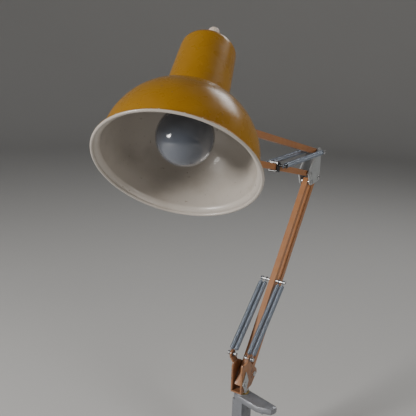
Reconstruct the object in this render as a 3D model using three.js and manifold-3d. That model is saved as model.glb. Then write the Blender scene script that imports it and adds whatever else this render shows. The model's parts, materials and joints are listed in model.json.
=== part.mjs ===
// Architect desk lamp: a table clamp, two spring-balanced parallel arms of square tube,
// and a round enamelled shade with a screw-in bulb. Millimetres, +Z up.
// The arms swing in a plane parallel to YZ, the shade reaches towards -Y, and the origin is
// the middle of the upper jaw's contact face, where the lamp rests on the table top.
import * as THREE from "three";
import { mergeVertices } from "three/addons/utils/BufferGeometryUtils.js";
import Module from "manifold-3d";

const wasm = await Module();
wasm.setup();

// ---- driving dimensions ----
const GAP = 0.3; // clearance between touching pieces
const ROUND = 16; // sides of a small round piece

const CLAMP_YAW = -12; // degrees from +X to the jaw
const JAW_REACH = 33; // swivel axis to the middle of the jaw
const JAW_OPEN = 26; // jaw face down to the clamp pad
const CLAMP_DEPTH = 74; // jaw face down to the underside of the lower arm

const BASE_HEIGHT = 38; // jaw face up to the middle of the two base pivots
const BASE_SETBACK = 2; // swivel axis back to the middle of the two base pivots
const PLATE = 2; // thickness of the pressed steel plates
const BRACKET_HALF = 7; // inner faces of the base bracket
const PLATE_HALF = 8; // inner faces of the elbow and head plates

const TUBE = 9.5; // side of the square tubes
const TUBE_WALL = 1.1;
const TUBE_END = 5; // tube beyond its pivot
const PIN_R = 2.2;

const LOWER_ARM = 361.4; // pivot to pivot
const LOWER_LEAN = 36.5; // degrees back from upright
const LOWER_LINK = [32, 3]; // front pivot to rear pivot (y, z)
const UPPER_ARM = 340;
const UPPER_LIFT = 12.9; // degrees above level
const UPPER_LOWER_PIVOT = [-22, 14]; // on the elbow plate, from its own middle
const UPPER_TOP_PIVOT = [13, 48.5];

const LOWER_SPRING_R = 3.75;
const LOWER_SPRING_X = [11.5, 19.5]; // both sides of each ear
const EAR = [-15.2, 44.5]; // spring anchor on the base bracket (y, z)
const LOWER_SPRING_PIN = 173.7; // front base pivot to the upper spring pin
const UPPER_SPRING_R = 4.5;
const UPPER_SPRING_X = 15.5;
const UPPER_SPRING_PIN = 130; // lower elbow pivot to the clip
const CLIP_RISE = 3; // spring peg above the middle of the lower tube
const HOOK = 8; // pin to the first coil
const LOWER_HOOK_GAP = 3; // middle of the pin to the tip of the hook's stem
const UPPER_HOOK_GAP = 6.1; // more, so that the tip clears the peg as the arm swings

const HEAD_AXIS = [-143, 397]; // head swivel, from the base pivots (y, z)
const HEAD_YAW = 18.4;
const HEAD_TILT = -46.1;
const TILT_RISE = 26; // head swivel block up to the tilt bolt
const TILT_FORWARD = 7.6;
const TILT_SIDE = 5.9;

const SHADE_SIDE = 55; // tilt bolt to the shade's axis
const SHADE_UP = 115; // rim plane up to the tilt bolt
const RIM_R = 90;
const DOME_R = 83;
const DOME_CENTRE = 15; // above the rim plane
const WALL = 1.2;
const NECK_FROM = 90.6;
const NECK_TO = 170;
const NECK_R = [36.3, 32.8];
const CAP_RISE = 10;
const BULB_R = 31.6;
const BULB_CENTRE = 43;

// ---- colours ----
const PAINT = {
  enamel: { color: 0xd9a327, roughness: 0.28, metalness: 0 },
  ochre: { color: 0xc08a4e, roughness: 0.5, metalness: 0 },
  cast: { color: 0xb9bcc2, roughness: 0.45, metalness: 0.6 },
  steel: { color: 0x9a9da0, roughness: 0.4, metalness: 0.9 },
  zinc: { color: 0xb4b8bd, roughness: 0.35, metalness: 0.9 },
  black: { color: 0x1b1b1c, roughness: 0.6, metalness: 0 },
  rubber: { color: 0x161617, roughness: 0.85, metalness: 0 },
  ivory: { color: 0xe6d9cf, roughness: 0.4, metalness: 0 },
  opal: { color: 0xeef0f3, roughness: 0.1, metalness: 0 },
  brass: { color: 0xb08d4a, roughness: 0.4, metalness: 0.9 },
};

// ---- helpers ----
const rad = THREE.MathUtils.degToRad;
const lamp = new THREE.Group();

function group(parent, x, y, z) {
  const g = new THREE.Group();
  g.position.set(x, y, z);
  parent.add(g);
  return g;
}

function add(parent, name, geometry, paint) {
  const mesh = new THREE.Mesh(geometry, new THREE.MeshStandardMaterial(PAINT[paint]));
  mesh.name = name;
  parent.add(mesh);
  return mesh;
}

function solidOf(geometry) {
  const bare = geometry.clone();
  bare.deleteAttribute("normal");
  bare.deleteAttribute("uv");
  const g = mergeVertices(bare, 1e-4);
  const vertProperties = new Float32Array(g.attributes.position.array);
  const triVerts = new Uint32Array(g.index.array);
  return new wasm.Manifold(new wasm.Mesh({ numProp: 3, vertProperties, triVerts }));
}

function geometryOf(solid) {
  const mesh = solid.getMesh();
  const g = new THREE.BufferGeometry();
  g.setAttribute("position", new THREE.BufferAttribute(new Float32Array(mesh.vertProperties), 3));
  g.setIndex(new THREE.BufferAttribute(new Uint32Array(mesh.triVerts), 1));
  return g;
}

function join(...geometries) {
  const solids = geometries.map(solidOf);
  return geometryOf(solids.reduce((a, b) => a.add(b)));
}

function cut(geometry, ...tools) {
  return geometryOf(tools.map(solidOf).reduce((a, b) => a.subtract(b), solidOf(geometry)));
}

// A closed ring or disc turned about Z: points are [radius, z] from bottom to top and back.
function turned(points, sides = ROUND) {
  return new THREE.LatheGeometry(points.map(([r, z]) => new THREE.Vector2(r, z)), sides).rotateX(Math.PI / 2);
}

// A solid rod of radius r along Z.
function rod(r, from, to, sides = ROUND) {
  return turned([[0, from], [r, from], [r, to], [0, to]], sides);
}

// The same rod along X.
function crossRod(r, from, to, sides = ROUND) {
  return rod(r, from, to, sides).rotateY(Math.PI / 2);
}

// A riveted pin along X: a domed head beyond each end of its span.
function rivetPin(from, to, headR = 3.8, r = PIN_R) {
  const high = 1.6;
  return turned([
    [0, from - high], [headR * 0.6, from - high], [headR, from - high / 2], [headR, from], [r, from],
    [r, to], [headR, to], [headR, to + high / 2], [headR * 0.6, to + high], [0, to + high],
  ]).rotateY(Math.PI / 2);
}

// A pivot pin along X: a shoulder keeps the tube in the middle, heads close on the outer faces.
function pivotPin(inner, from, to, headR = 4.2) {
  const high = 1.6;
  const tube = TUBE / 2 + GAP;
  return turned([
    [0, from - high], [headR * 0.6, from - high], [headR, from - high / 2], [headR, from], [PIN_R, from],
    [PIN_R, -inner + GAP], [4, -inner + GAP], [4, -tube], [PIN_R, -tube],
    [PIN_R, tube], [4, tube], [4, inner - GAP], [PIN_R, inner - GAP],
    [PIN_R, to], [headR, to], [headR, to + high / 2], [headR * 0.6, to + high], [0, to + high],
  ], 14).rotateY(Math.PI / 2);
}

function ringPath(r, y, z) {
  const path = new THREE.Path();
  path.absarc(y, z, r, 0, Math.PI * 2, true);
  return path;
}

// The rounded outline around a ring of circles [y, z, radius], listed anticlockwise.
function aroundCircles(circles) {
  const shape = new THREE.Shape();
  circles.forEach(([y, z, r], i) => {
    const [py, pz, pr] = circles[(i + circles.length - 1) % circles.length];
    const [ny, nz, nr] = circles[(i + 1) % circles.length];
    const from = Math.atan2(z - pz, y - py) - Math.PI / 2 - Math.asin((r - pr) / Math.hypot(z - pz, y - py));
    let to = Math.atan2(nz - z, ny - y) - Math.PI / 2 + Math.asin((r - nr) / Math.hypot(nz - z, ny - y));
    while (to < from) to += Math.PI * 2;
    shape.absarc(y, z, r, from, to, false);
  });
  return shape;
}

// A flat plate in the YZ plane, from x to x + thickness.
function plateYZ(shape, x, thickness) {
  const g = new THREE.ExtrudeGeometry(shape, { depth: thickness, bevelEnabled: false, curveSegments: 8 });
  g.applyMatrix4(new THREE.Matrix4().makeBasis(
    new THREE.Vector3(0, 1, 0), new THREE.Vector3(0, 0, 1), new THREE.Vector3(1, 0, 0)));
  return g.translate(x, 0, 0);
}

function box(x0, x1, y0, y1, z0, z1) {
  return new THREE.BoxGeometry(x1 - x0, y1 - y0, z1 - z0)
    .translate((x0 + x1) / 2, (y0 + y1) / 2, (z0 + z1) / 2);
}

// A square tube along +Z from its pivot at the origin, open at both ends, with cross holes.
function squareTube(length, holes) {
  const h = TUBE / 2;
  const i = h - TUBE_WALL;
  const corners = (list) => list.map(([x, y]) => new THREE.Vector2(x, y));
  const outer = new THREE.Shape(corners([[-h, -h], [h, -h], [h, h], [-h, h]]));
  outer.holes.push(new THREE.Path(corners([[-i, -i], [-i, i], [i, i], [i, -i]])));
  const tube = new THREE.ExtrudeGeometry(outer, { depth: length + 2 * TUBE_END, bevelEnabled: false });
  tube.translate(0, 0, -TUBE_END);
  const drills = holes.map((z) => crossRod(PIN_R + GAP, -TUBE, TUBE, 16).translate(0, 0, z));
  return cut(tube, ...drills);
}

// A push-in plug for a tube end: flange outside, peg inside, along +Z.
function tubePlug() {
  const i = TUBE / 2 - TUBE_WALL - GAP;
  const h = TUBE / 2 - 0.4;
  return join(box(-i, i, -i, i, -2, 0.5), box(-h, h, -h, h, GAP, 1.8));
}

// ---- table clamp, in its own frame: X along the jaw, swivel axis at the origin ----
const BOSS_TOP = 13;
const BUSH_R = 8.5;
const SPIGOT_R = 6;
const SPIGOT_DEPTH = 22;
const SCREW_R = 5;
const SPINE_BACK = -11;
const SPINE_FRONT = 9;
const SPINE_HALF = 12;
const NUT_R = 9.5;
const swivelX = -JAW_REACH * Math.cos(rad(CLAMP_YAW));
const swivelY = -JAW_REACH * Math.sin(rad(CLAMP_YAW));
const clamp = group(lamp, swivelX, swivelY, 0);
clamp.rotation.z = rad(CLAMP_YAW);

// The cast C of the clamp, seen from the side.
function clampSpine() {
  const side = new THREE.Shape();
  side.moveTo(SPINE_BACK, -CLAMP_DEPTH + 6);
  side.lineTo(SPINE_BACK + 6, -CLAMP_DEPTH);
  side.lineTo(JAW_REACH + 12, -CLAMP_DEPTH + 2);
  side.lineTo(JAW_REACH + 12, -CLAMP_DEPTH + 13);
  side.lineTo(SPINE_FRONT + 7, -CLAMP_DEPTH + 16);
  side.lineTo(SPINE_FRONT, -CLAMP_DEPTH + 23);
  side.lineTo(SPINE_FRONT, 1);
  side.lineTo(SPINE_BACK, 1);
  const spine = new THREE.ExtrudeGeometry(side, { depth: 2 * SPINE_HALF, bevelEnabled: false });
  return spine.rotateX(Math.PI / 2).translate(0, SPINE_HALF, 0);
}

// The upper jaw, seen from above: a broad tongue with a slanted nose and bevelled edges.
function clampJaw() {
  const bevel = 4;
  const plan = new THREE.Shape();
  plan.moveTo(-1, -13.5);
  plan.lineTo(JAW_REACH + 8, -15);
  plan.lineTo(JAW_REACH + 29, -5);
  plan.absarc(JAW_REACH + 26, 5, 5, -0.2, Math.PI / 2, false);
  plan.lineTo(-1, 13.5);
  plan.absarc(-1, 0, 13.5, Math.PI / 2, Math.PI * 1.5, false);
  const jaw = new THREE.ExtrudeGeometry(plan, {
    depth: 5, bevelEnabled: true, bevelThickness: 3.5, bevelSize: bevel, bevelOffset: -bevel,
    bevelSegments: 2, curveSegments: 6,
  });
  return jaw.translate(0, 0, 3.5);
}

function clampBody() {
  const sole = box(SPINE_FRONT - 1, JAW_REACH + 17, -11, 11, 0, 5);
  const boss = turned([[0, 1], [13, 1], [13, 8], [11.5, BOSS_TOP], [0, BOSS_TOP]], 24);
  const nut = rod(NUT_R, -CLAMP_DEPTH - 1, -CLAMP_DEPTH + 15, 20).translate(JAW_REACH, 0, 0);
  const whole = join(clampSpine(), clampJaw(), sole, boss, nut);
  const bushHole = rod(BUSH_R + GAP, -SPIGOT_DEPTH - 1, BOSS_TOP + 5, 20);
  const screwHole = rod(SCREW_R + GAP, -CLAMP_DEPTH - 10, -CLAMP_DEPTH + 30).translate(JAW_REACH, 0, 0);
  return cut(whole, bushHole, screwHole);
}
add(clamp, "clamp_body", clampBody(), "cast");

const bushTop = BOSS_TOP + 1.8;
add(clamp, "swivel_bush", turned([
  [SPIGOT_R + GAP, -SPIGOT_DEPTH], [BUSH_R, -SPIGOT_DEPTH],
  [BUSH_R, BOSS_TOP + GAP], [BUSH_R + 2, BOSS_TOP + GAP],
  [BUSH_R + 2, bushTop], [SPIGOT_R + GAP, bushTop], [SPIGOT_R + GAP, -SPIGOT_DEPTH],
], 20), "brass");

// ---- clamp screw, its cross bar and its pad ----
const PAD_HIGH = 9;
const HANDLE_DROP = 30; // lower arm down to the cross bar
const CROSS_BAR_R = 2.5;
const CROSS_BAR_HALF = 30;
const handleZ = -CLAMP_DEPTH - HANDLE_DROP;
const screwTop = -JAW_OPEN - PAD_HIGH;
const screw = group(clamp, JAW_REACH, 0, 0);
const screwHub = turned([
  [0, handleZ - 8], [6.5, handleZ - 8], [8, handleZ - 5],
  [8, handleZ + 5], [6.5, handleZ + 8], [0, handleZ + 8],
]);
const barHole = crossRod(CROSS_BAR_R + GAP, -12, 12, 12).translate(0, 0, handleZ);
add(screw, "clamp_screw", cut(join(rod(SCREW_R, handleZ + 4, screwTop), screwHub), barHole), "zinc");
const crossBar = crossRod(CROSS_BAR_R, -CROSS_BAR_HALF, CROSS_BAR_HALF, 12);
add(screw, "screw_cross_bar", crossBar.translate(0, 0, handleZ), "zinc");
for (const [name, side] of [["left", -1], ["right", 1]]) {
  const cap = turned([[0, 0], [3.2, 0], [4.4, 1.5], [4.4, 5], [2.6, 7], [0, 7]], 12);
  cap.rotateY(side * Math.PI / 2).translate(side * (CROSS_BAR_HALF + GAP), 0, handleZ);
  add(screw, `cross_bar_cap_${name}`, cap, "black");
}
add(screw, "clamp_pad", turned([
  [0, screwTop + GAP], [6.5, screwTop + GAP], [7.5, screwTop + 4],
  [14, -JAW_OPEN - 2.5], [14, -JAW_OPEN], [0, -JAW_OPEN],
], 20), "zinc");

// ---- base bracket: a U of plate with a leaning ear on each side, turning on a spigot ----
const BRACKET_PLATE = 2.5;
const BRACKET_OUT = BRACKET_HALF + BRACKET_PLATE;
const BRACKET_FRONT = -26;
const BRACKET_REAR = 8;
const WEB_Z = -15.5;
const EAR_OUT = 6.7; // inner face of the eye, out from the bracket's inner face
const EAR_R = 6.5;
const DIAMOND_X = BRACKET_OUT + GAP;
const base = group(lamp, swivelX, swivelY + BASE_SETBACK, BASE_HEIGHT);
const frontBase = [-LOWER_LINK[0] / 2, -LOWER_LINK[1] / 2];
const rearBase = [LOWER_LINK[0] / 2, LOWER_LINK[1] / 2];

function bracketSide(side) {
  const s = new THREE.Shape();
  s.moveTo(BRACKET_FRONT, WEB_Z);
  s.lineTo(BRACKET_REAR, WEB_Z);
  s.absarc(rearBase[0], rearBase[1] + 1, 9, -0.3, 0.9, false);
  s.lineTo(2, 28);
  s.lineTo(-8, 34);
  s.lineTo(BRACKET_FRONT + 2, 34);
  s.lineTo(BRACKET_FRONT, 30);
  for (const [y, z] of [frontBase, rearBase]) s.holes.push(ringPath(PIN_R + GAP, y, z));
  const plate = plateYZ(s, side > 0 ? BRACKET_HALF : -BRACKET_OUT, BRACKET_PLATE);
  // The ear leans outward and ends in an upright round eye for the spring pin.
  const lean = new THREE.Shape([[0, 31], [2.5, 31], [9.2, 41], [9.2, 44], [6.7, 44], [6.7, 42]]
    .map(([x, z]) => new THREE.Vector2(side * (BRACKET_HALF + x), z)));
  const flare = new THREE.ExtrudeGeometry(lean, { depth: 2 * EAR_R, bevelEnabled: false });
  flare.rotateX(Math.PI / 2).translate(0, EAR[0] + EAR_R, 0);
  const eyeX = side > 0 ? BRACKET_HALF + EAR_OUT : -BRACKET_HALF - EAR_OUT - BRACKET_PLATE;
  const eyeShape = aroundCircles([[EAR[0], EAR[1] - 2, EAR_R], [EAR[0], EAR[1], EAR_R]]);
  const eye = plateYZ(eyeShape, eyeX, BRACKET_PLATE);
  return join(plate, flare, eye);
}

function bracketYoke() {
  const web = box(-BRACKET_OUT, BRACKET_OUT, BRACKET_FRONT, BRACKET_REAR, WEB_Z, WEB_Z + BRACKET_PLATE);
  const eyeHoles = crossRod(PIN_R + GAP, -30, 30, 12).translate(0, EAR[0], EAR[1]);
  const spigotHole = rod(SPIGOT_R + GAP, WEB_Z - 5, WEB_Z + 6).translate(0, -BASE_SETBACK, 0);
  return cut(join(bracketSide(1), bracketSide(-1), web), eyeHoles, spigotHole);
}
add(base, "base_bracket", bracketYoke(), "ochre");

// The spigot hangs from the web by its head and turns in the clamp's bush.
const webTop = WEB_Z + BRACKET_PLATE;
const spigotFoot = -BASE_HEIGHT - SPIGOT_DEPTH + 2;
const collarTop = WEB_Z - GAP;
const collarFoot = bushTop + GAP - BASE_HEIGHT;
const turntable = group(base, 0, -BASE_SETBACK, 0);
add(turntable, "bracket_spigot", turned([
  [0, spigotFoot], [SPIGOT_R - 1, spigotFoot], [SPIGOT_R, spigotFoot + 1], [SPIGOT_R, webTop + GAP],
  [6.8, webTop + GAP], [6.8, webTop + 2], [5.5, webTop + 3], [0, webTop + 3],
]), "zinc");
const collar = turned([
  [0, collarFoot], [9.5, collarFoot], [9.5, collarTop - 1], [8.5, collarTop], [0, collarTop],
], 6);
add(turntable, "spigot_collar", cut(collar, rod(SPIGOT_R + GAP, collarFoot - 2, collarTop + 2)), "zinc");

function diamondPlate() {
  const [y, z] = frontBase;
  const corners = [[-8.5, 2], [2, -17], [10.5, 2], [2, 21]];
  const s = new THREE.Shape(corners.map(([a, b]) => new THREE.Vector2(y + a, z + b)));
  s.holes.push(ringPath(PIN_R + GAP, y, z));
  return plateYZ(s, DIAMOND_X, 1.5);
}
add(base, "diamond_plate", diamondPlate(), "steel");
const frontPin = pivotPin(BRACKET_HALF, -BRACKET_OUT - GAP, DIAMOND_X + 1.5 + GAP);
add(group(base, 0, ...frontBase), "front_base_pin", frontPin, "steel");
const rearPin = pivotPin(BRACKET_HALF, -BRACKET_OUT - GAP, BRACKET_OUT + GAP);
add(group(base, 0, ...rearBase), "rear_base_pin", rearPin, "steel");
const EAR_PIN_IN = 8.4;
const EAR_PIN_OUT = 21.5;
add(group(base, 0, ...EAR), "near_ear_pin", rivetPin(EAR_PIN_IN, EAR_PIN_OUT, 3.2), "steel");
add(group(base, 0, ...EAR), "far_ear_pin", rivetPin(-EAR_PIN_OUT, -EAR_PIN_IN, 3.2), "steel");

// ---- lower arm: two parallel square tubes leaning back ----
function tubeGroup(parent, pivot, turn) {
  const g = group(parent, 0, ...pivot);
  g.rotation.x = turn;
  return g;
}
const leanTurn = -rad(LOWER_LEAN);
const frontTube = tubeGroup(base, frontBase, leanTurn);
add(frontTube, "lower_front_tube", squareTube(LOWER_ARM, [0, LOWER_SPRING_PIN, LOWER_ARM]), "ochre");
const rearTube = tubeGroup(base, rearBase, leanTurn);
add(rearTube, "lower_rear_tube", squareTube(LOWER_ARM, [0, LOWER_ARM]), "ochre");
const pinHalf = LOWER_SPRING_X[1] + 2;
const springPin = rivetPin(-pinHalf, pinHalf, 3.2);
add(frontTube, "lower_spring_pin", springPin.translate(0, 0, LOWER_SPRING_PIN), "steel");
const GLAND_LONG = 13;
const gland = turned([
  [2.8, 0], [5, 0], [5, 3], [4, 4], [3.8, GLAND_LONG], [2.8, GLAND_LONG], [2.8, 0],
]).rotateX(-Math.PI / 2).translate(0, TUBE / 2 + GAP, 6);
add(rearTube, "cord_gland", gland, "cast");

// ---- tension springs: a coil with its eye on one pin, and a hook that reaches the other ----
function springCoil(r, length) {
  return turned([[0, 3], [1.2, 3], [1.2, HOOK - 2.5], [r, HOOK], [r, length - HOOK], [0, length - HOOK]], 12);
}
function springHook(r, length, gap) {
  const from = length - HOOK + 0.5;
  const tip = length - gap;
  const shoulder = (from + tip) / 2;
  return turned([[0, from], [r * 0.8, from], [1.2, shoulder], [1.2, tip], [0, tip]], 12);
}
// A group at one pin whose +Z points to the other.
function springGroup(parent, from, to) {
  const g = group(parent, 0, ...from);
  g.rotation.x = -Math.atan2(to[0] - from[0], to[1] - from[1]);
  return { g, length: Math.hypot(to[0] - from[0], to[1] - from[1]) };
}
const along = (angle, distance) => [-Math.sin(angle) * distance, Math.cos(angle) * distance];
const plus = (a, b) => [a[0] + b[0], a[1] + b[1]];
const lowerSprings = springGroup(base, EAR, plus(frontBase, along(leanTurn, LOWER_SPRING_PIN)));
const places = [["far_outer", -1, 1], ["far_inner", -1, 0], ["near_inner", 1, 0], ["near_outer", 1, 1]];
for (const [name, side, i] of places) {
  const x = side * LOWER_SPRING_X[i];
  const coil = springCoil(LOWER_SPRING_R, lowerSprings.length).translate(x, 0, 0);
  const hook = springHook(LOWER_SPRING_R, lowerSprings.length, LOWER_HOOK_GAP).translate(x, 0, 0);
  add(lowerSprings.g, `lower_spring_${name}`, coil, "zinc");
  add(lowerSprings.g, `lower_hook_${name}`, hook, "zinc");
}

// ---- elbow: two kite plates that stay upright ----
const ELBOW_R = 7.5;
const elbow = group(base, 0, ...along(leanTurn, LOWER_ARM));
const elbowPivots = [frontBase, rearBase, UPPER_TOP_PIVOT, UPPER_LOWER_PIVOT];
const elbowShape = aroundCircles(elbowPivots.map(([y, z], i) => [y, z, i < 2 ? ELBOW_R - 1.5 : ELBOW_R]));
for (const [y, z] of elbowPivots) elbowShape.holes.push(ringPath(PIN_R + GAP, y, z));
add(elbow, "elbow_plate_near", plateYZ(elbowShape, PLATE_HALF, PLATE), "steel");
add(elbow, "elbow_plate_far", plateYZ(elbowShape, -PLATE_HALF - PLATE, PLATE), "steel");
const plateFace = PLATE_HALF + PLATE + GAP;
const springFace = UPPER_SPRING_X + 4;
add(group(elbow, 0, ...frontBase), "elbow_front_pin", pivotPin(PLATE_HALF, -plateFace, plateFace), "steel");
add(group(elbow, 0, ...rearBase), "elbow_rear_pin", pivotPin(PLATE_HALF, -plateFace, plateFace), "steel");
const lowerPin = pivotPin(PLATE_HALF, -plateFace, plateFace);
add(group(elbow, 0, ...UPPER_LOWER_PIVOT), "elbow_lower_pin", lowerPin, "steel");
const longPin = pivotPin(PLATE_HALF, -springFace, springFace, 3.6);
add(group(elbow, 0, ...UPPER_TOP_PIVOT), "elbow_spring_pin", longPin, "steel");

// ---- upper arm: two parallel square tubes reaching forward ----
const liftTurn = rad(90 - UPPER_LIFT);
const topTube = tubeGroup(elbow, UPPER_TOP_PIVOT, liftTurn);
add(topTube, "upper_top_tube", squareTube(UPPER_ARM, [0, UPPER_ARM]), "ochre");
const lowTube = tubeGroup(elbow, UPPER_LOWER_PIVOT, liftTurn);
add(lowTube, "upper_low_tube", squareTube(UPPER_ARM, [0, UPPER_ARM]), "ochre");
for (const [name, parent] of [["top", topTube], ["low", lowTube]]) {
  const plug = tubePlug().rotateX(Math.PI).translate(0, 0, -TUBE_END);
  add(parent, `upper_${name}_plug`, plug, "ochre");
}

// The clip is a moulded sleeve with a peg on each side for the springs.
const CLIP_HALF = 5.5;
function springClip() {
  const wall = TUBE / 2 + 2.6;
  const bore = TUBE / 2 + GAP;
  const sleeve = box(-wall, wall, -wall, wall + 1, -CLIP_HALF, CLIP_HALF);
  const peg = turned([
    [0, -springFace - 1.5], [3.4, -springFace - 1.5], [3.4, -springFace], [PIN_R, -springFace],
    [PIN_R, springFace], [3.4, springFace], [3.4, springFace + 1.5], [0, springFace + 1.5],
  ], 12).rotateY(Math.PI / 2).translate(0, CLIP_RISE, 0);
  return cut(join(sleeve, peg), box(-bore, bore, -bore, bore, -CLIP_HALF - 5, CLIP_HALF + 5));
}
add(lowTube, "spring_clip", springClip().translate(0, 0, UPPER_SPRING_PIN), "black");

const pegTurn = Math.atan2(CLIP_RISE, UPPER_SPRING_PIN);
const pegPlace = plus(UPPER_LOWER_PIVOT, along(liftTurn - pegTurn, Math.hypot(CLIP_RISE, UPPER_SPRING_PIN)));
const upperSprings = springGroup(elbow, UPPER_TOP_PIVOT, pegPlace);
for (const [name, side] of [["far", -1], ["near", 1]]) {
  const x = side * UPPER_SPRING_X;
  const coil = springCoil(UPPER_SPRING_R, upperSprings.length).translate(x, 0, 0);
  const hook = springHook(UPPER_SPRING_R, upperSprings.length, UPPER_HOOK_GAP).translate(x, 0, 0);
  add(upperSprings.g, `upper_spring_${name}`, coil, "zinc");
  add(upperSprings.g, `upper_hook_${name}`, hook, "zinc");
}

// ---- head bracket: two plates that stay upright, with a block bored for the head swivel ----
const HEAD_R = 7;
const BLOCK_HALF = 8;
const BLOCK_HIGH = 9;
const STEM_R = 4;
const head = group(base, 0, ...HEAD_AXIS);
const armReach = plus(along(leanTurn, LOWER_ARM), along(liftTurn, UPPER_ARM));
const headPivots = [UPPER_LOWER_PIVOT, UPPER_TOP_PIVOT]
  .map((pivot) => plus(pivot, armReach))
  .map(([y, z]) => [y - HEAD_AXIS[0], z - HEAD_AXIS[1]]);
const headShape = aroundCircles([...headPivots.map(([y, z]) => [y, z, HEAD_R]), [-1, 1, 9]]);
for (const [y, z] of headPivots) headShape.holes.push(ringPath(PIN_R + GAP, y, z));
add(head, "head_plate_near", plateYZ(headShape, PLATE_HALF, PLATE), "steel");
add(head, "head_plate_far", plateYZ(headShape, -PLATE_HALF - PLATE, PLATE), "steel");
add(group(head, 0, ...headPivots[0]), "head_low_pin", pivotPin(PLATE_HALF, -plateFace, plateFace), "steel");
add(group(head, 0, ...headPivots[1]), "head_top_pin", pivotPin(PLATE_HALF, -plateFace, plateFace), "steel");
const blockX = PLATE_HALF - GAP;
const block = box(-blockX, blockX, -BLOCK_HALF, BLOCK_HALF, -BLOCK_HIGH, BLOCK_HIGH);
add(head, "head_block", cut(block, rod(STEM_R + GAP, -20, 20)), "cast");

// ---- knuckle: a stem in the block, a blade beside the shade's lug, a bolt and a knob ----
const BLADE_HALF = 3;
const LUG_HALF = 2.5;
const BOLT_R = 3;
const BLADE_TAIL = [6, TILT_RISE + 2]; // where the lead goes in
const knuckle = group(head, 0, 0, 0);
knuckle.rotation.z = rad(HEAD_YAW);
function knuckleBody() {
  const stem = turned([
    [0, 0.5 - BLOCK_HIGH], [STEM_R, 0.5 - BLOCK_HIGH], [STEM_R, 12.5],
    [7.5, 12.5], [7.5, 15.5], [6.5, 16.5], [0, 16.5],
  ]);
  const foot = [[-5, 17, 2], [5, 17, 2]];
  const outline = aroundCircles([...foot, [...BLADE_TAIL, 4], [-TILT_FORWARD, TILT_RISE, 8.5]]);
  outline.holes.push(ringPath(BOLT_R + GAP, -TILT_FORWARD, TILT_RISE));
  return join(stem, plateYZ(outline, -BLADE_HALF, 2 * BLADE_HALF));
}
add(knuckle, "head_knuckle", knuckleBody(), "cast");
const tilt = group(knuckle, TILT_SIDE, -TILT_FORWARD, TILT_RISE);
const bladeFar = -TILT_SIDE - BLADE_HALF;
const boltHead = LUG_HALF + GAP;
add(tilt, "tilt_bolt", turned([
  [0, bladeFar - 12], [BOLT_R, bladeFar - 12], [BOLT_R, boltHead],
  [5.5, boltHead], [5.5, boltHead + 3.2], [0, boltHead + 3.2],
], 12).rotateY(Math.PI / 2), "zinc");
const knobFrom = bladeFar - GAP;
add(tilt, "tilt_knob", turned([
  [0, knobFrom - 14], [5.5, knobFrom - 14], [6.5, knobFrom - 12.5],
  [6.5, knobFrom - 3], [5, knobFrom - 1.5], [5, knobFrom],
  [BOLT_R + GAP, knobFrom], [BOLT_R + GAP, knobFrom - 12.3], [0, knobFrom - 12.3],
], 18).rotateY(Math.PI / 2), "black");

// ---- shade, in a frame whose +Z is its axis, from the opening to the neck ----
const shade = group(knuckle, TILT_SIDE, -TILT_FORWARD, TILT_RISE);
shade.rotation.x = rad(HEAD_TILT);
const axis = group(shade, 0, -SHADE_SIDE, -SHADE_UP);
const BEAD_R = 1.8;
const LIP_R = 5.4; // the hollow curve between the rolled rim and the dome
const CROWN_R = 31; // hole in the top of the dome
const SHADE_SIDES = 44;

function arc(r, z, radius, from, to, steps) {
  const points = [];
  for (let i = 0; i <= steps; i += 1) {
    const a = rad(from + (to - from) * i / steps);
    points.push([r + radius * Math.cos(a), z + radius * Math.sin(a)]);
  }
  return points;
}
function domeProfile() {
  const beadAt = RIM_R - BEAD_R;
  const lipZ = 2 * BEAD_R + LIP_R;
  const start = (radius) => THREE.MathUtils.radToDeg(Math.asin((lipZ - DOME_CENTRE) / radius));
  const crown = (radius) => THREE.MathUtils.radToDeg(Math.acos(CROWN_R / radius));
  const inner = DOME_R - WALL;
  const outline = [
    ...arc(beadAt, BEAD_R, BEAD_R, 155, 430, 9),
    ...arc(beadAt, lipZ, LIP_R, 265, 190, 3),
    ...arc(0, DOME_CENTRE, DOME_R, start(DOME_R), crown(DOME_R), 13),
    ...arc(0, DOME_CENTRE, inner, crown(inner), start(inner), 11),
    ...arc(beadAt, lipZ, LIP_R + WALL, 190, 250, 3),
  ];
  return [...outline, outline[0]];
}
add(axis, "shade_dome", turned(domeProfile(), SHADE_SIDES), "enamel");

// The neck is a tapered can with a domed end.
const STEM_HOLE_R = 5.4;
const LEAD_Z = SHADE_UP + 40;
const LEAD_HOLE_R = 3.7;
function neckSide(offset) {
  const [low, high] = NECK_R.map((r) => r - offset);
  const points = [[low, NECK_FROM], [high, NECK_TO - 4]];
  for (let i = 1; i <= 7; i += 1) {
    const a = (i / 7) * Math.acos(STEM_HOLE_R / high);
    points.push([high * Math.cos(a) ** 0.8, NECK_TO - 4 + (CAP_RISE + 4 - offset) * Math.sin(a) ** 0.9]);
  }
  points[points.length - 1][0] = STEM_HOLE_R;
  return points;
}
function shadeNeck() {
  const outer = neckSide(0);
  const can = turned([...outer, ...neckSide(WALL).reverse(), outer[0]], 36);
  const leadHole = rod(LEAD_HOLE_R, 0, 60, 12).rotateX(-Math.PI / 2).translate(0, 0, LEAD_Z);
  return cut(can, leadHole);
}
add(axis, "shade_neck", shadeNeck(), "enamel");

function shadeLug() {
  const foot = NECK_R[0] + 0.6 - SHADE_SIDE;
  const blade = aroundCircles([[foot + 1.5, -12, 1.5], [0, 0, 8.5], [foot + 1.5, 12, 1.5]]);
  blade.holes.push(ringPath(BOLT_R + GAP, 0, 0));
  return join(plateYZ(blade, -LUG_HALF, 2 * LUG_HALF), box(-8, 8, foot, foot + 2.4, -14, 14));
}
add(shade, "shade_lug", shadeLug(), "cast");

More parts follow.
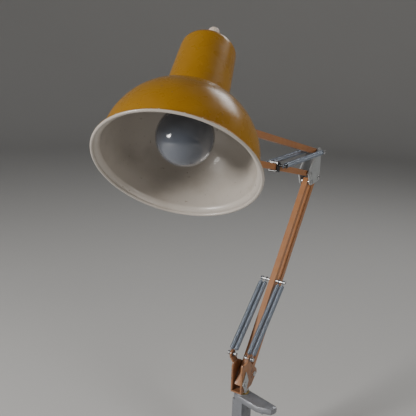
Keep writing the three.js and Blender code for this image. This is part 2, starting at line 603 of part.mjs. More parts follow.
// ---- lampholder with its turn switch, and the bulb ----
const HOLDER_FROM = 97;
const HOLDER_TO = 148;
const KNOB_FROM = 190;
add(axis, "lampholder", turned([
  [14, HOLDER_FROM], [19.5, HOLDER_FROM], [19.5, HOLDER_TO - 14],
  [16, HOLDER_TO - 4], [10, HOLDER_TO], [5, HOLDER_TO],
  [5, KNOB_FROM - 2], [0, KNOB_FROM - 2], [0, 126], [14, 126], [14, HOLDER_FROM],
], 24), "black");
add(axis, "switch_knob", turned([
  [0, KNOB_FROM - 1.5], [4.5, KNOB_FROM - 1.5], [6.2, KNOB_FROM], [6.8, KNOB_FROM + 2], [6.8, KNOB_FROM + 13],
  [6, KNOB_FROM + 15.5], [3.5, KNOB_FROM + 16.7], [0, KNOB_FROM + 17],
], 20), "ivory");
const GLASS_TO = 94;
add(axis, "bulb_glass", turned([
  ...arc(0, BULB_CENTRE, BULB_R, -90, 42, 12).map(([r, z], i) => [i ? r : 0, z]),
  [18.6, 69], [15.6, 76], [13.8, 84], [13.2, GLASS_TO], [0, GLASS_TO],
], 28), "opal");
add(axis, "bulb_cap", turned([
  [0, GLASS_TO + GAP], [13.3, GLASS_TO + GAP], [13.3, 116], [7, 121], [4.5, 121], [4.5, 123], [0, 123],
], 20), "zinc");

// ---- the short lead from the neck to the knuckle, and its grommet ----
const LEAD_R = 2.2;
const GROMMET_OUT = 6;
const neckRear = NECK_R[1] + 1.2;
add(axis, "lead_grommet", turned([
  [LEAD_R + GAP, -5], [LEAD_HOLE_R - GAP, -5], [LEAD_HOLE_R - GAP, GAP], [5, GAP],
  [5, 2], [3.6, GROMMET_OUT], [LEAD_R + GAP, GROMMET_OUT], [LEAD_R + GAP, -5],
], 12).rotateX(-Math.PI / 2).translate(0, neckRear, LEAD_Z), "rubber");

function leadRoute() {
  const fromShade = (y) => new THREE.Vector3(0, y - SHADE_SIDE, LEAD_Z - SHADE_UP)
    .applyAxisAngle(new THREE.Vector3(1, 0, 0), rad(HEAD_TILT))
    .add(new THREE.Vector3(TILT_SIDE, -TILT_FORWARD, TILT_RISE));
  const byHand = [[5.7, 24, 55], [5, 29.5, 47.5], [3.6, 30.5, 41], [1.8, 27, 36.5]];
  const [tailY, tailZ] = BLADE_TAIL;
  return new THREE.CatmullRomCurve3([
    fromShade(neckRear - 5), fromShade(neckRear + 1), fromShade(neckRear + 7),
    ...byHand.map((p) => new THREE.Vector3(...p)),
    new THREE.Vector3(0.4, tailY + 15, tailZ + 6.5), new THREE.Vector3(0, tailY + 4.4, tailZ + 1.4),
  ]);
}
function cordTube(route, r, steps) {
  const section = new THREE.Shape();
  section.absarc(0, 0, r, 0, Math.PI * 2, false);
  return new THREE.ExtrudeGeometry(section, {
    steps, bevelEnabled: false, extrudePath: route, curveSegments: 8,
  });
}
add(knuckle, "head_lead", cordTube(leadRoute(), LEAD_R, 12), "black");

export default lamp;
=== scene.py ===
"""Looks for the balanced-arm lamp.

Camera, materials, wound springs, the enamelled shade with its bulb, the lead, metal parts with
rounded edges, then floor and light.
"""

import json
import math

import bmesh
import bpy
import numpy as np
from mathutils import Matrix, Vector


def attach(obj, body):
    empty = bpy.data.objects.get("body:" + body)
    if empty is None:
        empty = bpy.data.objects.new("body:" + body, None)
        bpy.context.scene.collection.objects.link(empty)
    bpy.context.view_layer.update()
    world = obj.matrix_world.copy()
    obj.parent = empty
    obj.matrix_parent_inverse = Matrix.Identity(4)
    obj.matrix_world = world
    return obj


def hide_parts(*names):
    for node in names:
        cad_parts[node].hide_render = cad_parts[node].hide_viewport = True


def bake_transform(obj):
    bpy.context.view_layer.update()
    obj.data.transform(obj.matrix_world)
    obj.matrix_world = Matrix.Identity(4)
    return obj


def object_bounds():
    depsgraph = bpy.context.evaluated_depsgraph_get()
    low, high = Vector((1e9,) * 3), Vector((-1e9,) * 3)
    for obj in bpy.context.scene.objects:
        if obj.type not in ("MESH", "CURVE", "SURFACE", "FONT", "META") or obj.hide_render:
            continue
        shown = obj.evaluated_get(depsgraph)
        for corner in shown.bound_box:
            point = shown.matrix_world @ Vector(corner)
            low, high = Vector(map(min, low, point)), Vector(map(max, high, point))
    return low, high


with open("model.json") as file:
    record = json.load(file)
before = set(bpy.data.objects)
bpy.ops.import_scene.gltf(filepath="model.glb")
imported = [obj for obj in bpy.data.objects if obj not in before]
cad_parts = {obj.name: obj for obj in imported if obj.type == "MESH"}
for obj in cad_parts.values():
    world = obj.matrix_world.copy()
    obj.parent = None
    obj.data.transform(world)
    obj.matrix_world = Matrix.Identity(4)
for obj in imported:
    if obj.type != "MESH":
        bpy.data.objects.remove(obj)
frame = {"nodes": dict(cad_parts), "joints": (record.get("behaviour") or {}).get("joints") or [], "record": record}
CAD_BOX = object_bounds()
NODES = frame["nodes"]
JOINTS = {j["name"]: j for j in frame["joints"]}
BODY_OF = {n: b for b, names in frame["record"]["behaviour"]["bodies"].items() for n in names}
SLOT_OF = {s["node"]: s["material_slot"] for s in frame["record"]["subparts"]}
SCENE = bpy.context.scene
MM = 0.001

# ---- places, in metres, from the frame's joints ----
HEAD_YAW = math.radians(18.4)
HEAD_TILT = math.radians(-46.1)
SHADE_SIDE = 0.055
SHADE_UP = 0.115
TILT_AT = Vector(JOINTS["head_tilt"]["pos_m"])
BASE_AT = (Vector(JOINTS["lower_arm_lean"]["pos_m"]) + Vector(JOINTS["rear_bar_lean"]["pos_m"])) / 2
KNUCKLE = Matrix.Translation(TILT_AT) @ Matrix.Rotation(HEAD_YAW, 4, "Z")
SHADE = KNUCKLE @ Matrix.Rotation(HEAD_TILT, 4, "X") @ Matrix.Translation((0, -SHADE_SIDE, -SHADE_UP))


# ---- camera ----
AZIMUTH = math.radians(31.91)
PITCH = math.radians(14.77)  # downward
ROLL = math.radians(-1.75)
CAMERA_FROM_BASE = Vector((0.3709, -0.7212, 0.4921))
LENS_MM = 48.79
SENSOR_MM = 36


def add_camera():
    level = Vector((-math.sin(AZIMUTH), math.cos(AZIMUTH), 0))
    forward = level * math.cos(PITCH) - Vector((0, 0, math.sin(PITCH)))
    right = Vector((math.cos(AZIMUTH), math.sin(AZIMUTH), 0))
    down = forward.cross(right)
    side = right * math.cos(ROLL) + down * math.sin(ROLL)
    low = down * math.cos(ROLL) - right * math.sin(ROLL)
    data = bpy.data.cameras.new("camera")
    data.lens = LENS_MM
    data.sensor_width = SENSOR_MM
    data.clip_start = 0.05
    camera = bpy.data.objects.new("camera", data)
    axes = Matrix((side, -low, -forward)).transposed().to_4x4()
    camera.matrix_world = Matrix.Translation(BASE_AT + CAMERA_FROM_BASE) @ axes
    SCENE.collection.objects.link(camera)
    SCENE.camera = camera


add_camera()


# ---- materials ----
class Paint:
    """A material's node tree, with short ways to add the usual procedural layers."""

    def __init__(self, name, colour, roughness, metallic=0.0, **sockets):
        self.material = bpy.data.materials.new(name)
        self.material.use_nodes = True
        self.tree = self.material.node_tree
        self.shader = self.tree.nodes["Principled BSDF"]
        self.set("Base Color", (*colour, 1))
        self.set("Roughness", roughness)
        self.set("Metallic", metallic)
        for socket, value in sockets.items():
            self.set(socket.replace("_", " "), value)
        self.place = self.tree.nodes.new("ShaderNodeTexCoord").outputs["Object"]
        self.colour = None

    def set(self, socket, value):
        self.shader.inputs[socket].default_value = value

    def node(self, kind, **values):
        made = self.tree.nodes.new(kind)
        for key, value in values.items():
            setattr(made, key, value)
        return made

    def link(self, out, into):
        self.tree.links.new(out, into)

    def stretched(self, scale):
        """Object coordinates scaled along each axis, for grain that runs one way."""
        mapping = self.node("ShaderNodeMapping")
        mapping.inputs["Scale"].default_value = scale
        self.link(self.place, mapping.inputs["Vector"])
        return mapping.outputs["Vector"]

    def noise(self, scale, detail=3.0, roughness=0.5, place=None):
        made = self.node("ShaderNodeTexNoise")
        made.inputs["Scale"].default_value = scale
        made.inputs["Detail"].default_value = detail
        made.inputs["Roughness"].default_value = roughness
        self.link(place or self.place, made.inputs["Vector"])
        return made.outputs["Fac"]

    def cells(self, scale):
        made = self.node("ShaderNodeTexVoronoi")
        made.inputs["Scale"].default_value = scale
        self.link(self.place, made.inputs["Vector"])
        return made.outputs["Distance"]

    def ramp(self, fac, low, high, a=0.0, b=1.0):
        made = self.node("ShaderNodeMapRange", interpolation_type="SMOOTHSTEP")
        for socket, value in (("From Min", low), ("From Max", high), ("To Min", a), ("To Max", b)):
            made.inputs[socket].default_value = value
        self.link(fac, made.inputs["Value"])
        return made.outputs["Result"]

    def tint(self, mask, colour):
        """Lays another colour over the base where the mask is 1."""
        mix = self.node("ShaderNodeMix", data_type="RGBA")
        base, over = mix.inputs[6], mix.inputs[7]
        if self.colour is None:
            base.default_value = self.shader.inputs["Base Color"].default_value
        else:
            self.link(self.colour, base)
        over.default_value = (*colour, 1)
        self.link(mask, mix.inputs[0])
        self.colour = mix.outputs[2]
        self.link(self.colour, self.shader.inputs["Base Color"])
        return self

    def rough(self, fac, smoothest, roughest):
        """Roughness that wanders between two values with the noise."""
        self.link(self.ramp(fac, 0.35, 0.7, smoothest, roughest), self.shader.inputs["Roughness"])
        return self

    def bump(self, height, distance, strength=0.5):
        made = self.node("ShaderNodeBump")
        made.inputs["Strength"].default_value = strength
        made.inputs["Distance"].default_value = distance
        self.link(height, made.inputs["Height"])
        normal = self.shader.inputs["Normal"]
        if normal.is_linked:
            self.link(normal.links[0].from_socket, made.inputs["Normal"])
        self.link(made.outputs["Normal"], normal)
        return self


def mustard_enamel():
    p = Paint("mustard_enamel", (0.34, 0.163, 0.008), 0.28, Coat_Weight=0.3, Coat_Roughness=0.22)
    p.tint(p.ramp(p.noise(14, 4), 0.45, 0.75, 0, 0.5), (0.26, 0.112, 0.004))
    p.tint(p.ramp(p.noise(310, 2), 0.70, 0.76), (0.22, 0.12, 0.03))
    p.rough(p.noise(60, 5), 0.24, 0.38)
    return p.bump(p.noise(420, 2), 0.0002, 0.12).material


def lip_enamel():
    p = Paint("lip_enamel", (0.34, 0.165, 0.010), 0.3, Coat_Weight=0.3)
    chips = p.ramp(p.noise(190, 4, 0.6), 0.615, 0.65)
    p.tint(chips, (0.50, 0.44, 0.32))
    p.rough(p.noise(80, 4), 0.26, 0.5)
    return p.bump(p.noise(150, 4, 0.6), 0.0004, 0.25).material


def cream_enamel():
    p = Paint("cream_enamel", (0.45, 0.41, 0.365), 0.34, Coat_Weight=0.15)
    p.tint(p.ramp(p.noise(22, 5, 0.6), 0.5, 0.75, 0, 0.45), (0.33, 0.285, 0.235))
    p.tint(p.ramp(p.noise(240, 3), 0.68, 0.74), (0.26, 0.22, 0.18))
    p.rough(p.noise(45, 4), 0.28, 0.46)
    return p.bump(p.noise(300, 3), 0.0003, 0.15).material


def ochre_paint(name="ochre_paint", rust=0.66, shade=(0.36, 0.16, 0.07)):
    p = Paint(name, shade, 0.42, Coat_Weight=0.1)
    p.tint(p.ramp(p.noise(30, 5, 0.6), 0.42, 0.72, 0, 0.55), (0.40, 0.175, 0.06))
    grain = p.noise(26, 4, 0.6, p.stretched((9, 1, 1)))
    p.tint(p.ramp(grain, 0.62, 0.78, 0, 0.5), (0.58, 0.32, 0.15))
    p.tint(p.ramp(p.noise(190, 5, 0.65), rust, rust + 0.05), (0.13, 0.07, 0.045))
    p.rough(p.noise(70, 4), 0.34, 0.58)
    return p.bump(p.noise(190, 5, 0.65), 0.0005, 0.2).material


def cast_paint():
    p = Paint("cast_paint", (0.27, 0.28, 0.31), 0.34, 0.55)
    streaks = p.noise(60, 5, 0.6, p.stretched((1, 4, 1)))
    p.tint(p.ramp(streaks, 0.42, 0.7, 0, 0.6), (0.25, 0.255, 0.265))
    p.tint(p.ramp(p.noise(210, 4, 0.6), 0.64, 0.70), (0.16, 0.12, 0.09))
    p.rough(p.noise(90, 4), 0.28, 0.52)
    p.bump(p.cells(330), 0.0007, 0.3)
    return p.bump(p.noise(55, 4), 0.001, 0.25).material


def plate_steel():
    p = Paint("plate_steel", (0.47, 0.49, 0.50), 0.36, 0.35)
    p.tint(p.ramp(p.noise(38, 5, 0.6), 0.45, 0.72, 0, 0.6), (0.40, 0.41, 0.41))
    p.tint(p.ramp(p.noise(260, 3), 0.68, 0.72), (0.21, 0.16, 0.12))
    scratches = p.noise(80, 3, 0.5, p.stretched((1, 1, 14)))
    p.rough(scratches, 0.28, 0.5)
    return p.bump(scratches, 0.0002, 0.2).material


def zinc_steel():
    p = Paint("zinc_steel", (0.56, 0.565, 0.57), 0.34, 0.9)
    p.tint(p.ramp(p.noise(120, 4), 0.5, 0.75, 0, 0.6), (0.36, 0.36, 0.35))
    p.rough(p.noise(160, 4), 0.24, 0.48)
    return p.bump(p.noise(500, 2), 0.0002, 0.15).material


def spring_wire():
    p = Paint("spring_wire", (0.27, 0.31, 0.375), 0.34, 0.75)
    p.tint(p.ramp(p.noise(28, 3), 0.45, 0.75, 0, 0.35), (0.25, 0.27, 0.30))
    p.rough(p.noise(60, 3), 0.30, 0.44)
    return p.bump(p.noise(900, 2), 0.0001, 0.1).material


def brass_bush():
    p = Paint("brass_bush", (0.50, 0.36, 0.13), 0.38, 0.9)
    p.tint(p.ramp(p.noise(150, 4), 0.5, 0.75, 0, 0.6), (0.26, 0.18, 0.08))
    return p.rough(p.noise(200, 3), 0.3, 0.5).material


def black_plastic():
    p = Paint("black_plastic", (0.022, 0.022, 0.023), 0.3, Coat_Weight=0.2)
    p.tint(p.ramp(p.noise(90, 4), 0.55, 0.75, 0, 0.5), (0.06, 0.058, 0.055))
    p.rough(p.noise(130, 4), 0.24, 0.5)
    return p.bump(p.noise(700, 2), 0.0002, 0.2).material


def ivory_plastic():
    p = Paint("ivory_plastic", (0.74, 0.62, 0.53), 0.32, Subsurface_Weight=0.15, Subsurface_Scale=0.004)
    p.tint(p.ramp(p.noise(110, 4), 0.5, 0.75, 0, 0.4), (0.58, 0.45, 0.36))
    return p.rough(p.noise(150, 4), 0.26, 0.46).material


def black_rubber():
    p = Paint("black_rubber", (0.024, 0.023, 0.022), 0.7)
    p.tint(p.ramp(p.noise(120, 4), 0.5, 0.75, 0, 0.5), (0.05, 0.047, 0.043))
    return p.bump(p.noise(800, 3), 0.0003, 0.4).material


def lead_sheath():
    p = Paint("lead_sheath", (0.02, 0.02, 0.021), 0.38)
    p.tint(p.ramp(p.noise(150, 3), 0.5, 0.75, 0, 0.5), (0.05, 0.048, 0.046))
    return p.rough(p.noise(220, 3), 0.3, 0.5).material


def pearl_glass():
    p = Paint("pearl_glass", (0.13, 0.145, 0.18), 0.10, Coat_Weight=0.8, Coat_Roughness=0.03)
    p.set("Transmission Weight", 0.12)
    p.tint(p.ramp(p.noise(25, 3), 0.4, 0.75, 0, 0.35), (0.17, 0.19, 0.22))
    return p.rough(p.noise(90, 4), 0.07, 0.16).material


def cap_metal():
    p = Paint("cap_metal", (0.62, 0.62, 0.60), 0.3, 1.0)
    return p.rough(p.noise(120, 3), 0.22, 0.42).material


MATERIALS = {
    "mustard_enamel": mustard_enamel(),
    "ochre_paint": ochre_paint(),
    "cast_paint": cast_paint(),
    "plate_steel": plate_steel(),
    "zinc_steel": zinc_steel(),
    "spring_steel": spring_wire(),
    "brass_bush": brass_bush(),
    "black_plastic": black_plastic(),
    "ivory_plastic": ivory_plastic(),
    "black_rubber": black_rubber(),
    "lead_sheath": lead_sheath(),
    "bulb_glass": pearl_glass(),
}
WORN_OCHRE = ochre_paint("worn_ochre", 0.575, (0.27, 0.125, 0.06))
CREAM = cream_enamel()
LIP = lip_enamel()


# ---- ways to make a piece ----
SHARP_ANGLE = math.radians(35)  # a steeper fold is an edge
LATHE_WELD = 1e-6
CAD_WELD = 2e-6


def piece(name, mesh, materials, body, slot, nodes=()):
    """Puts a finished mesh in the scene, on its body, in place of the CAD nodes it shows."""
    made = bpy.data.objects.new(name, mesh)
    SCENE.collection.objects.link(made)
    for material in materials:
        mesh.materials.append(material)
    if body:
        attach(made, body)
    if nodes:
        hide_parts(*nodes)
    return made


def mesh_of(name, points, faces):
    mesh = bpy.data.meshes.new(name)
    mesh.from_pydata([tuple(p) for p in points], [], faces)
    mesh.validate()
    for polygon in mesh.polygons:
        polygon.use_smooth = True
    return mesh


def softened(node, width, material=None):
    """The CAD node's own shape with rounded edges."""
    mesh = NODES[node].data.copy()
    mesh.materials.clear()
    shape = bmesh.new()
    shape.from_mesh(mesh)
    bmesh.ops.remove_doubles(shape, verts=shape.verts, dist=CAD_WELD)
    shape.to_mesh(mesh)
    shape.free()
    for polygon in mesh.polygons:
        polygon.use_smooth = True
    draft = bpy.data.objects.new("draft", mesh)
    SCENE.collection.objects.link(draft)
    bevel = draft.modifiers.new("round", "BEVEL")
    bevel.width = width
    bevel.segments = 2
    bevel.limit_method = "ANGLE"
    bevel.angle_limit = SHARP_ANGLE
    draft.modifiers.new("normals", "WEIGHTED_NORMAL")
    graph = bpy.context.evaluated_depsgraph_get()
    finished = bpy.data.meshes.new_from_object(draft.evaluated_get(graph))
    bpy.data.objects.remove(draft)
    slot = SLOT_OF[node]
    return piece(f"{node}_piece", finished, [material or MATERIALS[slot]], BODY_OF[node], slot, [node])


def lathe(name, profile, sides, matrix, band=None, wave=None):
    """Turns a closed (radius, height) profile in mm about Z.

    band(row) picks a row's material, and wave(angle, row) scales its radius.
    """
    points, faces = [], []
    rows = len(profile)
    for k in range(sides):
        angle = 2 * math.pi * k / sides
        for i, (r, z) in enumerate(profile):
            reach = r * (wave(angle, i) if wave else 1) * MM
            points.append(matrix @ Vector((reach * math.cos(angle), reach * math.sin(angle), z * MM)))
    for k in range(sides):
        for i in range(rows):
            a, b = k * rows + i, k * rows + (i + 1) % rows
            c, d = ((k + 1) % sides) * rows + (i + 1) % rows, ((k + 1) % sides) * rows + i
            faces.append((a, d, c, b))
    mesh = mesh_of(name, points, faces)
    if band:
        for polygon in mesh.polygons:
            polygon.material_index = band(polygon.index % rows)
    shape = bmesh.new()
    shape.from_mesh(mesh)
    bmesh.ops.remove_doubles(shape, verts=shape.verts, dist=LATHE_WELD)
    bmesh.ops.recalc_face_normals(shape, faces=shape.faces)
    shape.to_mesh(mesh)
    shape.free()
    mesh.set_sharp_from_angle(angle=SHARP_ANGLE)
    return mesh


def arc(r, z, radius, start, end, steps):
    turn = [math.radians(start + (end - start) * i / steps) for i in range(steps + 1)]
    return [(r + radius * math.cos(a), z + radius * math.sin(a)) for a in turn]


def wire(points, radius, sides):
    """A round tube through the points, with closed ends; all in metres."""
    path = np.array([tuple(p) for p in points], float)
    along = np.gradient(path, axis=0)
    along /= np.linalg.norm(along, axis=1)[:, None]
    normal = np.cross(along[0], (0.31, 0.52, 0.79))
    ring = np.arange(sides) * 2 * math.pi / sides
    verts = []
    for place, ahead in zip(path, along):
        normal = normal - ahead * normal.dot(ahead)
        normal /= np.linalg.norm(normal)
        across = np.cross(ahead, normal)
        verts.extend(place + radius * (np.cos(a) * normal + np.sin(a) * across) for a in ring)
    faces = []
    for i in range(len(path) - 1):
        for k in range(sides):
            a, b = i * sides + k, i * sides + (k + 1) % sides
            faces.append((a, b, b + sides, a + sides))
    last = (len(path) - 1) * sides
    faces.append(tuple(reversed(range(sides))))
    faces.append(tuple(range(last, last + sides)))
    return verts, faces


# ---- tension springs: wound wire with an eye at each end ----
EYE_R = 3.05
HOOK = 8.0  # from a pin to the first turn
TURN_STEPS = 12
COIL_PITCH = 1.02  # in wire diameters
SPRING_LENGTH = {"lower": 138.84, "upper": 161.07}  # pin to pin


def eye_and_stem(wire_r, stem_to):
    """The eye round a pin at the origin, then the straight stem up to stem_to."""
    points = []
    for i in range(19):
        a = math.radians(-235 + 325 * i / 18)
        points.append(Vector((wire_r * 1.1 * (1 - i / 9), EYE_R * math.cos(a), EYE_R * math.sin(a))))
    lift = np.linspace(EYE_R + 1.2, stem_to, 4)
    points.extend(Vector((-wire_r * 0.5 * (1 - i / 3), 0, z)) for i, z in enumerate(lift))
    return points


def winding(r, low, high, turns, start_r=None):
    steps = int(turns * TURN_STEPS)
    points = []
    for i in range(steps + 1):
        a = 2 * math.pi * i / TURN_STEPS
        t = i / steps
        reach = r if start_r is None else start_r + (r - start_r) * min(1, t)
        points.append(Vector((reach * math.sin(a), reach * math.cos(a), low + (high - low) * t)))
    return points


def spring(kind, side_name, x, outer_r, wire_r, swing_joint, stretch_joint):
    coil_body, hook_body = f"{kind}_springs", f"{kind}_hooks"
    pin = Vector(JOINTS[swing_joint]["pos_m"])
    axis = Vector(JOINTS[stretch_joint]["axis"])
    length = SPRING_LENGTH[kind]
    swing = Matrix.Rotation(-math.atan2(axis.y, axis.z), 4, "X")
    turned = Matrix.Translation(pin + Vector((x * MM, 0, 0))) @ swing
    r = outer_r - wire_r
    turns = (length - 2 * HOOK) / (2 * wire_r * COIL_PITCH)
    path = eye_and_stem(wire_r, HOOK - 2)
    path += winding(r, HOOK - 1.4, HOOK, 1.25, 0.6)[2:]
    coil = winding(r, HOOK, length - HOOK, turns)
    quarter_back = Matrix.Rotation(-math.radians(90), 3, "Z")
    path += [quarter_back @ p for p in coil[1:]]
    verts, faces = wire([turned @ (p * MM) for p in path], wire_r * MM, 6)
    coil_piece = piece(f"{kind}_coil_{side_name}", mesh_of("coil", verts, faces), [MATERIALS["spring_steel"]],
                       None, "spring_steel", [f"{kind}_spring_{side_name}"])
    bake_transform(coil_piece)
    far = Matrix.Translation((0, 0, length)) @ Matrix.Rotation(math.pi, 4, "X")
    path = eye_and_stem(wire_r, HOOK - 2.4) + winding(r, HOOK - 1.8, HOOK - 0.6, 1.25, 0.6)[2:]
    verts, faces = wire([turned @ ((far @ p) * MM) for p in path], wire_r * MM, 6)
    piece(f"{kind}_eye_{side_name}", mesh_of("eye", verts, faces), [MATERIALS["spring_steel"]],
          hook_body, "spring_steel", [f"{kind}_hook_{side_name}"])


LOWER_SPRINGS = {"far_outer": -19.5, "far_inner": -11.5, "near_inner": 11.5, "near_outer": 19.5}
UPPER_SPRINGS = {"far": -15.5, "near": 15.5}
for side_name, x in LOWER_SPRINGS.items():
    spring("lower", side_name, x, 3.75, 0.62, "lower_spring_swing", "lower_spring_stretch")
for side_name, x in UPPER_SPRINGS.items():
    spring("upper", side_name, x, 4.5, 0.72, "upper_spring_swing", "upper_spring_stretch")


# ---- shade: dome with a rolled rim, and the tall neck ----
RIM_R = 89.8
BEAD_R = 1.8
LIP_R = 5.4
DOME_R = 83
DOME_AT = 15  # centre of the dome above the rim plane
WALL = 1.2
CROWN_R = 31  # where the neck sits


def dome():
    bead_at, lip_z, inner = RIM_R - BEAD_R, 2 * BEAD_R + LIP_R, DOME_R - WALL
    start = {r: math.degrees(math.asin((lip_z - DOME_AT) / r)) for r in (DOME_R, inner)}
    crown = {r: math.degrees(math.acos(CROWN_R / r)) for r in (DOME_R, inner)}
    bead = arc(bead_at, BEAD_R, BEAD_R, 155, 430, 18)
    lip = arc(bead_at, lip_z, LIP_R, 265, 190, 8)
    outside = arc(0, DOME_AT, DOME_R, start[DOME_R], crown[DOME_R], 34)
    inside = arc(0, DOME_AT, inner, crown[inner], start[inner], 34)
    inner_lip = arc(bead_at, lip_z, LIP_R + WALL, 190, 250, 8)
    profile = bead + lip + outside + inside + inner_lip
    ends = [len(bead) - 6, len(bead) + len(lip) - 3, len(bead) + len(lip) + len(outside)]

    def band(i):
        if i < ends[0]:
            return 1
        return 2 if i < ends[1] else (0 if i < ends[2] else 1)

    mesh = lathe("shade_dome", profile, 128, SHADE, band)
    enamels = [MATERIALS["mustard_enamel"], CREAM, LIP]
    piece("shade_dome_piece", mesh, enamels, "shade", "mustard_enamel", ["shade_dome"])


NECK_FROM = 90.6
NECK_TO = 170
NECK_LOW = 36.3  # radius at the foot
NECK_HIGH = 32.8  # radius at the top
CAP_FROM = NECK_TO - 4
CAP_RISE = 10
STEM_HOLE_R = 5.4


def neck_side(offset, steps=16):
    low, high = NECK_LOW - offset, NECK_HIGH - offset
    halfway = (low + (high - low) * 0.5, (NECK_FROM + CAP_FROM) / 2)
    points = [(low, NECK_FROM), halfway, (high, CAP_FROM)]
    for i in range(1, steps + 1):
        a = i / steps * math.acos(STEM_HOLE_R / high)
        points.append((high * math.cos(a) ** 0.8, CAP_FROM + (CAP_RISE + 4 - offset) * math.sin(a) ** 0.9))
    points[-1] = (STEM_HOLE_R, points[-1][1])
    return points


def neck():
    outside, inside = neck_side(0), neck_side(WALL)
    profile = outside + inside[::-1]
    mesh = lathe("shade_neck", profile, 96, SHADE, lambda i: 0 if i < len(outside) else 1)
    enamels = [MATERIALS["mustard_enamel"], CREAM]
    piece("shade_neck_piece", mesh, enamels, "shade", "mustard_enamel", ["shade_neck"])


dome()
neck()


# ---- lampholder, switch knob and bulb ----
def lampholder():
    ribs = []
    for i in range(6):
        z = 104 + i * 4.2
        ribs += [(19.5, z), (18.8, z + 0.6), (18.8, z + 1.8), (19.5, z + 2.4)]
    thread = []
    for i in range(22):
        z = 152 + i * 1.5
        thread += [(5.0, z), (4.5, z + 0.75)]
    mouth = [(14, 97.6), (14.6, 97), (18.9, 97), (19.5, 97.8)]
    shoulder = [(19.5, 134), (17.5, 140), (16, 144), (13, 147), (10, 148), (5, 148.4)]
    stem_end = [(5, 186.5), (4.2, 188), (0, 188)]
    socket = [(0, 126), (14, 126)]
    mesh = lathe("lampholder", mouth + ribs + shoulder + thread + stem_end + socket, 64, SHADE)
    piece("lampholder_piece", mesh, [MATERIALS["black_plastic"]], "shade", "black_plastic", ["lampholder"])


def switch_knob():
    foot = [(0, 188.5), (4.5, 188.5), (6.0, 189.6), (6.6, 191), (6.8, 193)]
    top = [(6.8, 203), (6.5, 204.6), (5.6, 205.9), (4, 206.7), (2, 207), (0, 207)]

    def flutes(angle, i):
        return 1 - 0.035 * (0.5 + 0.5 * math.cos(16 * angle)) if 3 <= i <= 6 else 1

    mesh = lathe("switch_knob", foot + top, 128, SHADE, wave=flutes)
    ivory = [MATERIALS["ivory_plastic"]]
    piece("switch_knob_piece", mesh, ivory, "switch_knob", "ivory_plastic", ["switch_knob"])


def bulb():
    glass = arc(0, 43, 31.6, -90, 42, 40)
    glass[0] = (0, 11.4)
    glass += [(20.8, 66.6), (18.6, 69.6), (17, 72.4), (15.6, 76), (14.6, 80)]
    glass += [(13.8, 84), (13.4, 89), (13.2, 94), (0, 94)]
    piece("bulb_glass_piece", lathe("bulb_glass", glass, 96, SHADE), [MATERIALS["bulb_glass"]],
          "shade", "bulb_glass", ["bulb_glass"])
    thread = []
    for i in range(6):
        z = 98 + i * 3
        thread += [(13.3, z), (12.7, z + 1.5)]
    skirt = [(0, 94.4), (12.9, 94.4), (13.3, 95.4)]
    tip = [(13.3, 116), (10.5, 118.6), (7, 121), (4.5, 121.2), (4.5, 123), (0, 123)]
    mesh = lathe("bulb_cap", skirt + thread + tip, 64, SHADE)
    piece("bulb_cap_piece", mesh, [cap_metal()], "shade", "zinc_steel", ["bulb_cap"])


lampholder()
switch_knob()
bulb()


# ---- tilt knob, with flutes that a hand can grip ----
def tilt_knob():
    blade_far = -8.9
    start = blade_far - 0.3
    crown = [(0, start - 14), (4.6, start - 14), (5.6, start - 13.6), (6.3, start - 12.6), (6.5, start - 11)]
    foot = [(6.5, start - 4), (6.2, start - 2.6), (5.2, start - 1.6), (5, start)]
    bore = [(3.3, start), (3.3, start - 12.3), (0, start - 12.3)]

    def flutes(angle, i):
        return 1 - 0.09 * (0.5 + 0.5 * math.cos(12 * angle)) ** 2 if 3 <= i <= 6 else 1

    along_x = KNUCKLE @ Matrix.Rotation(math.pi / 2, 4, "Y")
    mesh = lathe("tilt_knob", crown + foot + bore, 144, along_x, wave=flutes)
    piece("tilt_knob_piece", mesh, [MATERIALS["black_plastic"]], "tilt_knob", "black_plastic", ["tilt_knob"])


tilt_knob()


# ---- lead: a short flexible cord from the neck's grommet to the knuckle ----
TILT_SIDE = 5.9
TILT_FORWARD = 7.6
TILT_RISE = 26
LEAD_Z = 155
LEAD_R = 2.2
NECK_REAR = NECK_HIGH + 1.2


def lead():
    stem = KNUCKLE @ Matrix.Translation(Vector((-TILT_SIDE, TILT_FORWARD, -TILT_RISE)) * MM)
    points = [SHADE @ (Vector((0, y, LEAD_Z)) * MM) for y in (NECK_REAR - 5, NECK_REAR + 1, NECK_REAR + 7)]
    by_hand = [
        (5.7, 24, 55), (5, 29.5, 47.5), (3.6, 30.5, 41),
        (1.8, 27, 36.5), (0.4, 21, 34.5), (0, 10.4, 29.4),
    ]
    points += [stem @ (Vector(p) * MM) for p in by_hand]
    keys = np.array([tuple(p) for p in points])
    ends = np.vstack([2 * keys[0] - keys[1], keys, 2 * keys[-1] - keys[-2]])
    path = []
    for i in range(len(keys) - 1):
        a, b, c, d = ends[i:i + 4]
        for t in np.arange(0, 1, 0.125):
            square = (2 * a - 5 * b + 4 * c - d) * t ** 2
            cube = (3 * b - a - 3 * c + d) * t ** 3
            path.append(0.5 * (2 * b + (c - a) * t + square + cube))
    path.append(keys[-1])
    verts, faces = wire(path, LEAD_R * MM, 16)
    mesh = mesh_of("head_lead", verts, faces)
    made = piece("head_lead_piece", mesh, [MATERIALS["lead_sheath"]], None, "lead_sheath", ["head_lead"])
    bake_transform(made)


lead()


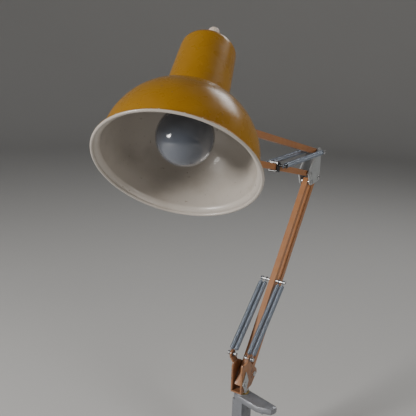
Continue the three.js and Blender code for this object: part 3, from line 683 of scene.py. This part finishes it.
# ---- every other metal part keeps its CAD shape and gets rounded edges ----
USUAL_ROUNDING = 0.0003
ROUNDING = {
    "clamp_body": 0.0012, "clamp_pad": 0.0005, "clamp_screw": 0.0005,
    "base_bracket": 0.0005, "diamond_plate": 0.0003,
    "lower_front_tube": 0.0009, "lower_rear_tube": 0.0009, "upper_top_tube": 0.0009, "upper_low_tube": 0.0009,
    "elbow_plate_near": 0.0004, "elbow_plate_far": 0.0004, "spring_clip": 0.0007,
    "head_plate_near": 0.0004, "head_plate_far": 0.0004,
    "head_block": 0.0009, "head_knuckle": 0.0008, "shade_lug": 0.0007,
}
MADE_ANEW = {
    "shade_dome", "shade_neck", "lampholder", "switch_knob",
    "bulb_glass", "bulb_cap", "tilt_knob", "head_lead",
}
for kind, names in (("lower", LOWER_SPRINGS), ("upper", UPPER_SPRINGS)):
    MADE_ANEW.update(f"{kind}_{end}_{name}" for end in ("spring", "hook") for name in names)

for node in sorted(set(NODES) - MADE_ANEW):
    softened(node, ROUNDING.get(node, USUAL_ROUNDING), WORN_OCHRE if node == "base_bracket" else None)


# ---- floor, light ----
def stage():
    """A round floor that curves up into a pale wall far behind."""
    low = CAD_BOX[0][2]
    profile = [(0, 0), (1.2, 0), (3.4, 0)]
    profile += [(3.4 + 1.6 * math.sin(a), 1.6 - 1.6 * math.cos(a)) for a in np.radians(np.arange(9, 91, 9))]
    profile += [(5, 3.2)]
    sides = 96
    points = [(r * math.cos(2 * math.pi * k / sides), r * math.sin(2 * math.pi * k / sides), low + z)
              for k in range(sides) for r, z in profile]
    rows = len(profile)
    faces = []
    for k in range(sides):
        a, b = k * rows, (k + 1) % sides * rows
        faces.extend((a + i, b + i, b + i + 1, a + i + 1) for i in range(rows - 1))
    mesh = mesh_of("floor", points, faces)
    floor = bpy.data.objects.new("floor", mesh)
    SCENE.collection.objects.link(floor)
    pale = Paint("pale_floor", (0.60, 0.595, 0.585), 0.8)
    pale.tint(pale.ramp(pale.noise(2, 3), 0.4, 0.7, 0, 0.15), (0.57, 0.565, 0.555))
    mesh.materials.append(pale.material)


def soft_light(name, place, size, power, aim=(-0.03, -0.05, 0.33), colour=(1, 1, 1)):
    data = bpy.data.lights.new(name, "AREA")
    data.shape = "RECTANGLE"
    data.size, data.size_y = size
    data.energy = power
    data.color = colour
    lamp = bpy.data.objects.new(name, data)
    SCENE.collection.objects.link(lamp)
    direction = Vector(aim) - Vector(place)
    lamp.matrix_world = Matrix.Translation(place) @ direction.to_track_quat("-Z", "Y").to_matrix().to_4x4()


def world_light():
    world = bpy.data.worlds.new("world")
    world.use_nodes = True
    world.node_tree.nodes["Background"].inputs["Color"].default_value = (0.86, 0.87, 0.89, 1)
    world.node_tree.nodes["Background"].inputs["Strength"].default_value = 0.10
    SCENE.world = world


stage()
world_light()
soft_light("key", (-0.95, -1.85, 0.9), (0.5, 0.8), 46, colour=(1, 0.98, 0.95))
soft_light("side", (1.8, -0.35, 1.0), (0.7, 1.3), 15, colour=(1, 0.97, 0.92))
soft_light("back", (0.2, 1.5, 1.7), (1.0, 0.6), 9)
